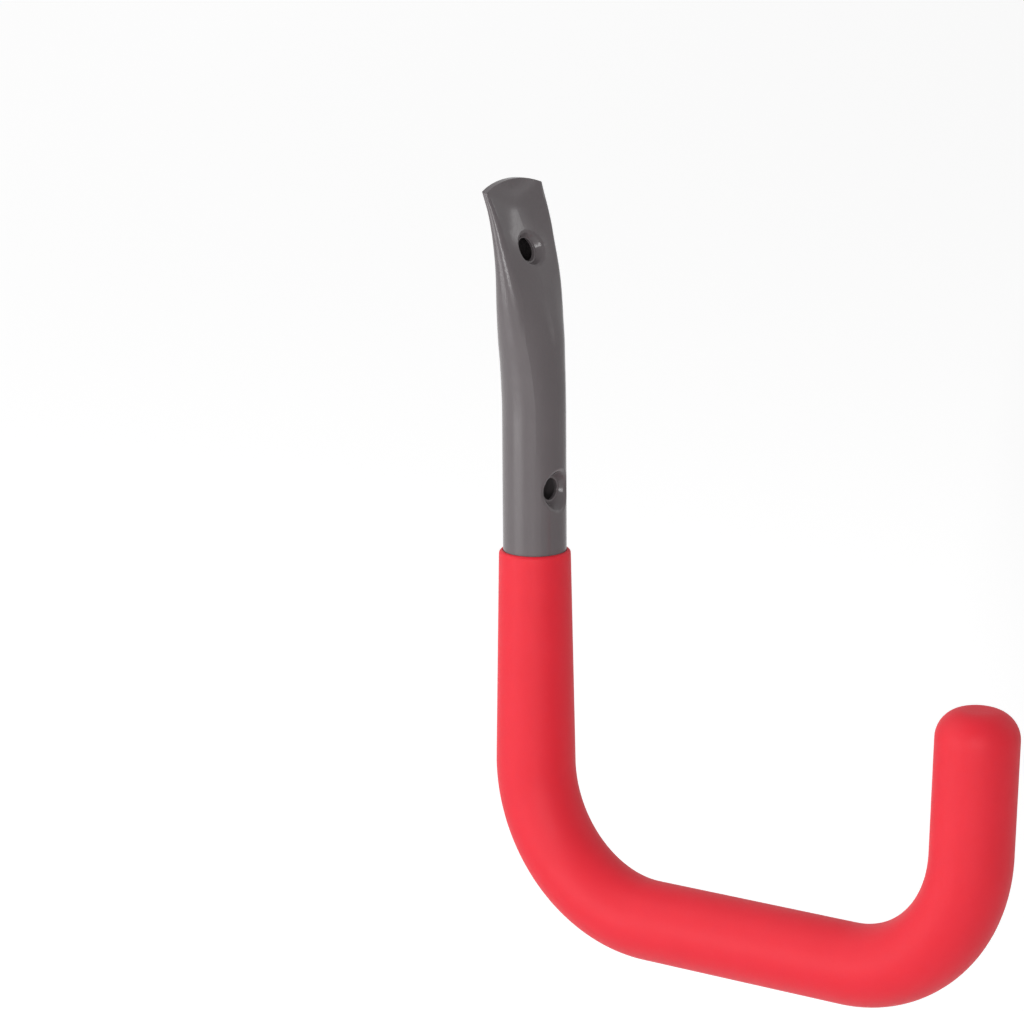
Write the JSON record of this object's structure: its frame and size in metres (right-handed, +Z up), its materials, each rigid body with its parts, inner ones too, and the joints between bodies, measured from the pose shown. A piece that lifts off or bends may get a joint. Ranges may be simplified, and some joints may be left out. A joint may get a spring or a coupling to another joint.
{
  "type": "utility hook",
  "caption": "Wall hook of bent steel tube with a pressed and drilled upper end and a soft sleeve over its upturned arm, for hanging tools and garden gear.",
  "frame": {"origin": "on the wall plane behind the tube, half way between the screw holes", "axes": "+Z up, +Y into the wall, the arm reaches out along -Y, X across the hook"},
  "size_m": [0.0304, 0.2089, 0.2658],
  "materials": {
    "tube": "satin",
    "sleeve": "matte"
  },
  "bodies": {
    "root": {"bent_tube": "tube", "foam_sleeve": "sleeve"}
  },
  "joints": []
}
